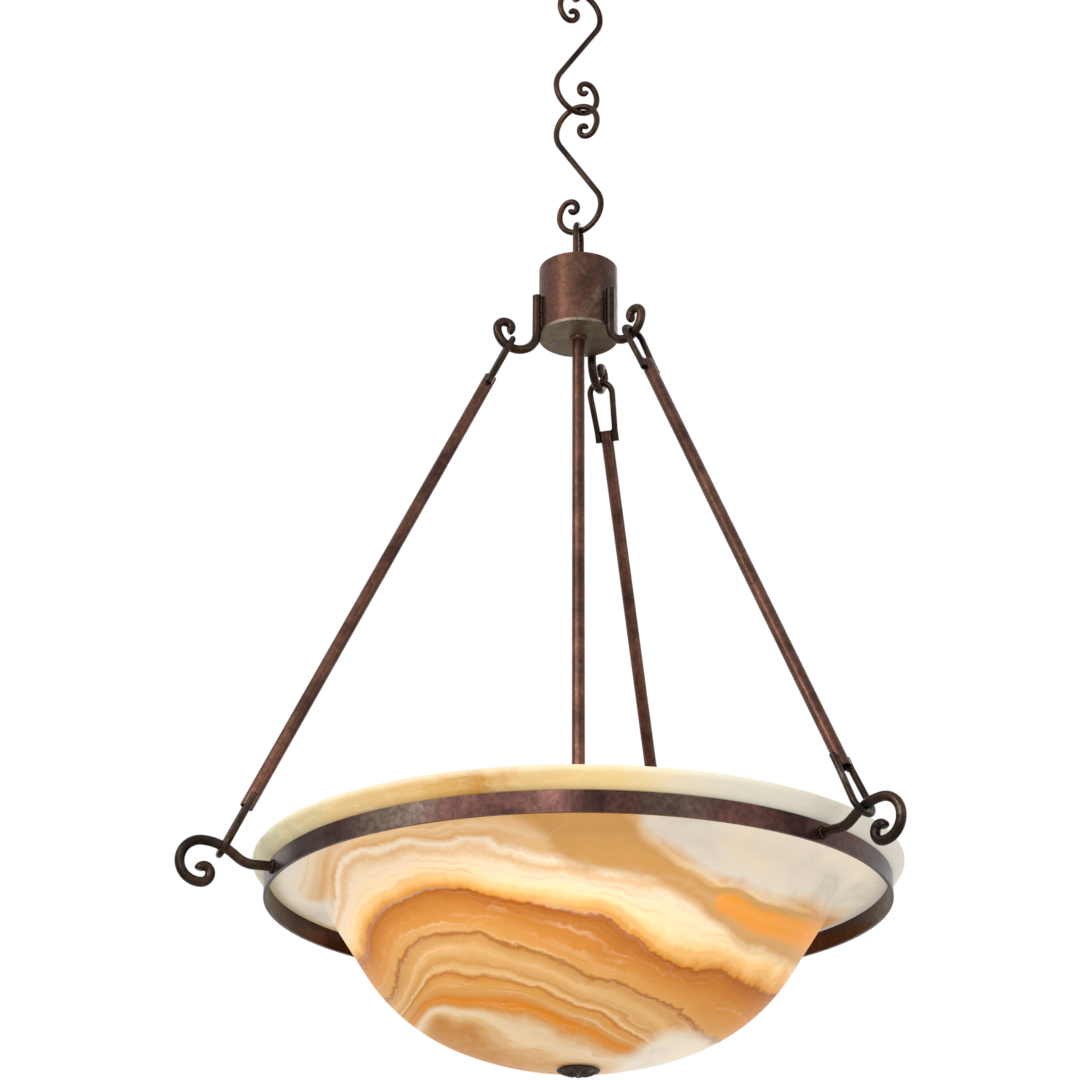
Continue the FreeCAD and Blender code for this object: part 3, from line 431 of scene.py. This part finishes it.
def bowl_profile():
    """Outer face from the hole to the lip, the rounded rim, and the inner face back."""
    outer = trace((0.0, 0.0), 0.0, BOWL_PATH, 0.004)
    rim = trace(outer[-1][:2], outer[-1][2], [("bend", BOWL_WALL / 2, 180.0)], 0.002)[1:]
    inner = [(x - BOWL_WALL * math.sin(a), y + BOWL_WALL * math.cos(a)) for x, y, a in outer]
    outside = [(x, y) for x, y, _ in outer if x > BOWL_HOLE]
    inside = [(x, y) for x, y in inner if x > BOWL_HOLE]
    corners = [(BOWL_HOLE, outer[0][1] + 0.0001)] + outside + [(x, y) for x, y, _ in rim]
    return corners + inside[-2::-1] + [(BOWL_HOLE, inner[0][1] + 0.0001)]


# Veins as they run across the picture: (level, places). A smooth field through them gives
# every point of the stone its level.
STRATA = [
    (0.500, [(365, 955), (369, 930), (390, 905), (417, 891), (440, 889), (465, 890), (487, 896),
             (540, 906), (597, 915), (635, 940), (680, 967), (722, 972), (770, 995)]),
    (0.619, [(392, 995), (400, 962), (430, 937), (465, 932), (515, 946), (565, 965), (635, 990),
             (685, 1015), (710, 1040), (384, 1002)]),
    (0.560, [(378, 965), (386, 935), (415, 915), (465, 911), (540, 931), (610, 958), (690, 993),
             (735, 1012), (366, 975)]),
    (0.743, [(430, 980), (480, 976), (527, 986), (577, 1007), (635, 1037), (660, 1055)]),
    (0.680, [(413, 985), (430, 958), (470, 953), (540, 972), (600, 997), (650, 1022), (400, 1008)]),
    (0.845, [(436, 1001), (460, 1003), (490, 1003), (525, 1006), (590, 1030), (625, 1048)]),
    (0.800, [(440, 992), (490, 993), (520, 996), (420, 1003), (560, 1012), (610, 1034)]),
    (0.900, [(515, 1020), (545, 1028), (590, 1046)]),
    (0.935, [(520, 1040), (560, 1052), (600, 1064), (640, 1066)]),
    (1.000, [(438, 1020), (452, 1032), (470, 1028), (476, 1048), (492, 1058)]),
    (0.455, [(358, 925), (368, 905), (395, 889), (440, 877), (480, 882), (540, 893), (600, 899),
             (650, 932), (700, 950), (760, 968), (800, 972)]),
    (0.400, [(352, 895), (380, 872), (430, 860), (480, 862), (540, 878), (600, 886), (680, 900),
             (740, 930), (810, 950)]),
    (0.358, [(338, 872), (360, 852), (400, 843), (480, 841), (560, 862), (620, 873)]),
    (0.280, [(330, 850), (380, 828), (440, 818), (500, 815), (560, 815), (640, 820)]),
    (0.050, [(265, 870), (290, 870), (700, 800), (880, 880), (860, 840)]),
]
# Amber patches are above 0, with sharp edges where the field is steep.
PATCH = [
    (0.0, [(505, 815), (527, 827), (540, 840), (550, 852), (637, 820), (660, 845), (692, 870),
           (720, 886), (760, 899), (800, 910)]),
    (0.45, [(560, 822), (585, 825), (612, 825), (575, 842), (612, 843), (636, 848)]),
    (0.4, [(666, 868), (700, 888), (600, 858)]),
    (1.0, [(724, 897), (745, 908), (770, 918), (796, 924), (808, 930), (762, 928)]),
    (0.3, [(704, 898), (728, 924), (765, 944), (790, 956)]),
    (-0.1, [(560, 872), (600, 880), (640, 885), (680, 905), (705, 925), (740, 962), (770, 975)]),
    (-0.8, [(520, 890), (640, 900), (560, 905), (620, 915), (680, 940), (600, 960), (500, 930),
            (400, 930), (600, 1040), (460, 1000), (700, 1020)]),
    (-1.0, [(655, 822), (690, 845), (720, 865), (760, 880), (800, 892), (850, 870), (780, 830),
            (480, 822), (500, 838), (515, 856), (430, 850), (350, 860), (280, 890)]),
]
# Grey-white stone is above 0.
PALE = [
    (1.0, [(655, 822), (690, 838), (730, 862), (790, 882), (850, 860), (880, 890), (800, 820),
           (275, 868), (290, 895), (318, 908), (268, 888), (650, 1060), (680, 1050)]),
    (0.0, [(637, 820), (660, 845), (692, 870), (740, 890), (800, 908), (330, 870), (345, 900),
           (640, 1042), (705, 1030)]),
    (-0.5, [(310, 893), (600, 840), (640, 865), (700, 905), (780, 940), (400, 850), (500, 850),
            (380, 920), (500, 940), (600, 980), (500, 1030), (590, 1050), (740, 990),
            (728, 1024), (690, 1010), (355, 940), (366, 975), (385, 1000), (412, 1022),
            (440, 1040), (470, 1058), (530, 1062), (345, 925)]),
]


FIELD_UNIT = 300.0
FIELD_SLACK = 2e-4


def smooth_field(levels, places):
    """Thin-plate surface through the given levels, read at the given places."""
    known = np.array([spot for _, spots in levels for spot in spots], float) / FIELD_UNIT
    value = np.array([level for level, spots in levels for _ in spots])

    def kernel(first, second):
        square = ((first[:, None] - second[None]) ** 2).sum(-1)
        return 0.5 * square * np.log(square + 1e-12)

    def flat(spots):
        return np.c_[np.ones(len(spots)), spots]

    count = len(known)
    system = np.zeros((count + 3, count + 3))
    system[:count, :count] = kernel(known, known) + FIELD_SLACK * np.eye(count)
    system[:count, count:] = flat(known)
    system[count:, :count] = flat(known).T
    weights = np.linalg.solve(system, np.r_[value, np.zeros(3)])
    spots = places / FIELD_UNIT
    return kernel(spots, known) @ weights[:count] + flat(spots) @ weights[count:]


def in_picture(points):
    """Where points fall in the picture."""
    offset = points - np.array(EYE)
    depth = offset @ np.array([0.0, math.sin(TILT), -math.cos(TILT)])
    rise = offset @ np.array([0.0, math.cos(TILT), math.sin(TILT)])
    return np.c_[PICTURE_MIDDLE[0] + PICTURE_FOCUS * offset[:, 0] / depth,
                 PICTURE_MIDDLE[1] - PICTURE_FOCUS * rise / depth]


def add_levels(piece):
    """Store the stone's levels, patches and lip on the bowl's points."""
    mesh = piece.data
    points = np.empty(len(mesh.vertices) * 3)
    mesh.vertices.foreach_get("co", points)
    points = points.reshape(-1, 3)
    places = in_picture(points)
    above = points[:, 2] - RING_TOP
    lip = np.clip((above + 0.002) / 0.002, 0.0, 1.0)
    fields = {"strata": smooth_field(STRATA, places), "patch": smooth_field(PATCH, places),
              "pale": smooth_field(PALE, places), "lip": lip, "rise": above / LIP_HEIGHT,
              "across": (places[:, 0] - BOWL_LEFT) / BOWL_SPAN}
    for name, values in fields.items():
        attribute = mesh.attributes.new(name, "FLOAT", "POINT")
        attribute.data.foreach_set("value", values.astype(np.float32))


def build_bowl():
    bm = lathe(bowl_profile(), 360)
    bm.transform(Matrix.Translation((0, 0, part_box("alabaster_bowl")[0].z)))
    bowl = new_piece("bowl_skin", bm, alabaster_material())
    add_levels(bowl)
    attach(bowl, "bowl")
    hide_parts("alabaster_bowl")


# ---------------------------------------------------------------- finial and welds

FINIAL_RADIUS = 0.025
FINIAL_RIM = 0.0015
FINIAL_DOME = 0.0035


def rosette_depth(part, angle):
    """How far the rosette stands out at a share of the radius: leaves, inner leaves, a bud."""
    outer = abs(math.cos(4 * angle)) ** 0.6 * math.sin(math.pi * part) ** 0.5
    middle = abs(math.sin(3 * angle + 0.3)) ** 0.6 * max(0.0, 1 - abs(part - 0.42) / 0.2)
    bud = max(0.0, 1 - part / 0.22)
    veins = 0.25 * math.cos(24 * angle + 14 * part)
    return 0.0015 * outer * (1 + veins) + 0.0014 * middle + 0.0014 * bud ** 0.5


def build_finial(material):
    """The domed boss with a shallow rosette of leaves round a bud."""
    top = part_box("finial")[1].z
    rings, count = 44, 144
    circle = [(FINIAL_RADIUS * math.cos(2 * math.pi * k / count),
               FINIAL_RADIUS * math.sin(2 * math.pi * k / count)) for k in range(count)]
    bm = bmesh.new()
    rows = []
    for ring in range(1, rings + 1):
        part = ring / rings
        dome = FINIAL_RIM + FINIAL_DOME * (1 - part ** 2.2)
        row = []
        for k, (x, y) in enumerate(circle):
            hammered = 0.0007 * noise.noise(Vector((x * part, y * part, 0.3)) * 420)
            depth = dome + rosette_depth(part, 2 * math.pi * k / count) + hammered
            row.append(bm.verts.new((x * part, y * part, top - depth)))
        rows.append(row)
    rows.append([bm.verts.new((x, y, top)) for x, y in circle])
    for first, second in zip(rows, rows[1:]):
        for k in range(count):
            bm.faces.new([first[k], first[(k + 1) % count], second[(k + 1) % count], second[k]])
    bm.faces.new(rows[0])
    bm.faces.new(rows[-1])
    bmesh.ops.recalc_face_normals(bm, faces=bm.faces)
    finial = new_piece("finial_rosette", bm, material)
    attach(finial, "finial")
    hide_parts("finial")


def add_bead(bm, points, size, chance):
    """A run of weld metal: rough drops laid one over the other."""
    for point in points:
        shift = Vector([chance.uniform(-0.3, 0.3) * size for _ in range(3)])
        bmesh.ops.create_icosphere(bm, subdivisions=2, radius=size * chance.uniform(0.75, 1.2),
                                   matrix=Matrix.Translation(Vector(point) + shift))


def along(begin, end, spacing):
    steps = max(1, round((end - begin).length / spacing))
    return [begin.lerp(end, step / steps) for step in range(steps + 1)]


BEAD_SPACING = 0.0018
HOOK_RISE = 0.0515
HUB_FACE = 0.0518
HOOK_EDGE = 0.0037
ARM_ROOT = 0.3668
ARM_DROP = 0.012
ARM_RADIUS = 0.0058
HANGER_TUBE_LENGTH = 0.6591
EYE_LEG_EDGE = 0.0094
EYE_LEG_FACE = 0.0028
EYE_LEG_LAP = 0.013


def fixture_welds(chance):
    """Two upright beads beside each hub hook and a ring of weld round each arm's root."""
    fixture = bmesh.new()
    hook_top = HUB_FLOOR + HOOK_RISE
    up = Vector((0, 0, 1))
    for bearing in BEARINGS.values():
        angle = math.radians(bearing)
        out = Vector((math.cos(angle), math.sin(angle), 0))
        side = Vector((-math.sin(angle), math.cos(angle), 0))
        for sign in (-1, 1):
            foot = out * HUB_FACE + side * HOOK_EDGE * sign
            seam = along(foot + up * (hook_top - 0.004), foot + up * (HUB_FLOOR + 0.006),
                         BEAD_SPACING)
            add_bead(fixture, seam, 0.0017, chance)
        root = out * ARM_ROOT + up * (RING_TOP - ARM_DROP)
        circle = [root + side * ARM_RADIUS * math.cos(turn) + up * (ARM_RADIUS * math.sin(turn))
                  for turn in np.linspace(0, 2 * math.pi, 17)]
        add_bead(fixture, circle, 0.0023, chance)
    return fixture


def hanger_welds(joint, chance):
    """Beads on both faces of each eye leg, where it laps the tube's end."""
    angle = math.radians(BEARINGS[joint["child"].split("_")[0]])
    axis, side = Vector(joint["axis"]), Vector((-math.sin(angle), math.cos(angle), 0))
    flat = axis.cross(side)
    high = Vector(joint["pos_m"])
    low = high - axis * HANGER_TUBE_LENGTH
    bm = bmesh.new()
    for end, inward in ((high, -1), (low, 1)):
        for leg in (-1, 1):
            for face in (-1, 1):
                foot = end + side * EYE_LEG_EDGE * leg + flat * EYE_LEG_FACE * face
                seam = along(foot, foot + axis * EYE_LEG_LAP * inward, BEAD_SPACING)
                add_bead(bm, seam, 0.0015, chance)
    return bm


def build_welds(material):
    """Weld metal where hooks, arms and eyes are joined on."""
    chance = random.Random(7)
    pieces = {"fixture": fixture_welds(chance)}
    for joint in frame["record"]["behaviour"]["joints"]:
        if joint["name"].endswith("_hanger_twist"):
            pieces[joint["child"]] = hanger_welds(joint, chance)
    for body, bm in pieces.items():
        weld = new_piece(f"{body}_welds", bm, material)
        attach(weld, body)


# ---------------------------------------------------------------- floor and finishes

FLOOR_HEIGHT = -2.9
FLOOR_REACH = 6.0


def build_floor():
    bm = bmesh.new()
    bmesh.ops.create_grid(bm, x_segments=2, y_segments=2, size=FLOOR_REACH,
                          matrix=Matrix.Translation((0, 0, FLOOR_HEIGHT)))
    floor = new_piece("floor", bm, floor_material())


def iron_finishes():
    """The rubbed bronze as it differs from tubes to rods, ring, links and plates; the bottom
    plate's pale tan, the ring's bright spots and the finial's light patches are partly painted
    light.
    """
    return {
        "tube": bronze_material("bronze_tube", (0.055, 0.024, 0.017), (0.165, 0.072, 0.046),
                                (0.20, 0.140, 0.098), 0.36, 0.37),
        "hub": bronze_material("bronze_hub", (0.050, 0.026, 0.018), (0.130, 0.054, 0.036),
                               (0.18, 0.145, 0.105), 0.46, 0.42),
        "rod": bronze_material("bronze_rod", (0.016, 0.011, 0.008), (0.070, 0.036, 0.022),
                               (0.14, 0.120, 0.088), 0.42, 0.33),
        "ring": bronze_material("bronze_ring", (0.032, 0.014, 0.012), (0.110, 0.046, 0.036),
                                (0.135, 0.100, 0.078), 0.32, 0.33,
                                # Painted highlights on the ring's front-left, front and left.
                                [((-0.20, -0.305, RING_TOP - 0.012), 0.075, 0.75),
                                 ((0.10, -0.352, RING_TOP - 0.010), 0.060, 0.35),
                                 ((-0.33, -0.15, RING_TOP - 0.012), 0.060, 0.35)]),
        "link": bronze_material("bronze_link", (0.016, 0.009, 0.006), (0.095, 0.042, 0.024),
                                (0.17, 0.12, 0.085), 0.36, 0.30),
        # The bottom plate's pale tan is bronze lightened by a painted reflection of the bowl's
        # glow.
        "plate": bronze_material("bronze_plate_painted_reflection", (0.165, 0.120, 0.080), (0.250, 0.190, 0.130),
                                 (0.25, 0.20, 0.145), 0.42, 0.46),
        # The finial's light worn colour and large worn share are partly painted highlight on its
        # relief.
        "relief": bronze_material("bronze_relief", (0.010, 0.006, 0.004), (0.110, 0.066, 0.038),
                                  (0.26, 0.20, 0.13), 0.50, 0.34),
    }


def iron_kind(name):
    if name == "ring_band":
        return "ring"
    if name in ("hub_shell", "hub_top_plate", "ceiling_canopy", "canopy_collar"):
        return "hub"
    if name == "hub_bottom_plate":
        return "plate"
    if "tube" in name or name.startswith(("stem", "socket_arm", "lamp_cluster", "cluster")):
        return "tube"
    if "link" in name or name in ("hub_loop", "canopy_loop"):
        return "link"
    return "rod"


def dress_nodes(iron):
    """Give every carried-over CAD piece the material of its slot."""
    materials = {
        "plated_steel": steel_material(),
        "porcelain": porcelain_material(),
        "brass": brass_material(),
        "frosted_glass": frosted_material(),
        "wire_insulation": plain_material("wire_rubber", (0.02, 0.02, 0.02), (0.05, 0.05, 0.05),
                                          0.5),
        "connector_plastic": plain_material("connector", (0.70, 0.40, 0.06), (0.80, 0.5, 0.1),
                                            0.4),
    }
    for sub in frame["record"]["subparts"]:
        node, slot = frame["nodes"][sub["node"]], sub["material_slot"]
        if slot == "alabaster":
            continue
        node.data.materials.clear()
        node.data.materials.append(iron[iron_kind(sub["node"])] if slot == "bronze_iron"
                                   else materials[slot])


add_camera()
add_world()
add_lamp("key", (-2.4, -2.4, 0.4), (0, 0, -1.0), (1.3, 1.6), 56)
add_lamp("fill", (2.6, -2.0, -0.6), (0, 0, -1.1), (1.4, 1.8), 11)
add_lamp("rim", (0.6, 2.4, 0.3), (0, 0, -1.0), (1.6, 1.2), 20)
add_lamp("strip", (-0.5, -2.7, -0.7), (0, 0, -0.9), (0.12, 1.5), 26)
build_floor()
iron = iron_finishes()
dress_nodes(iron)
build_bowl()
build_finial(iron["relief"])
build_welds(iron["rod"])
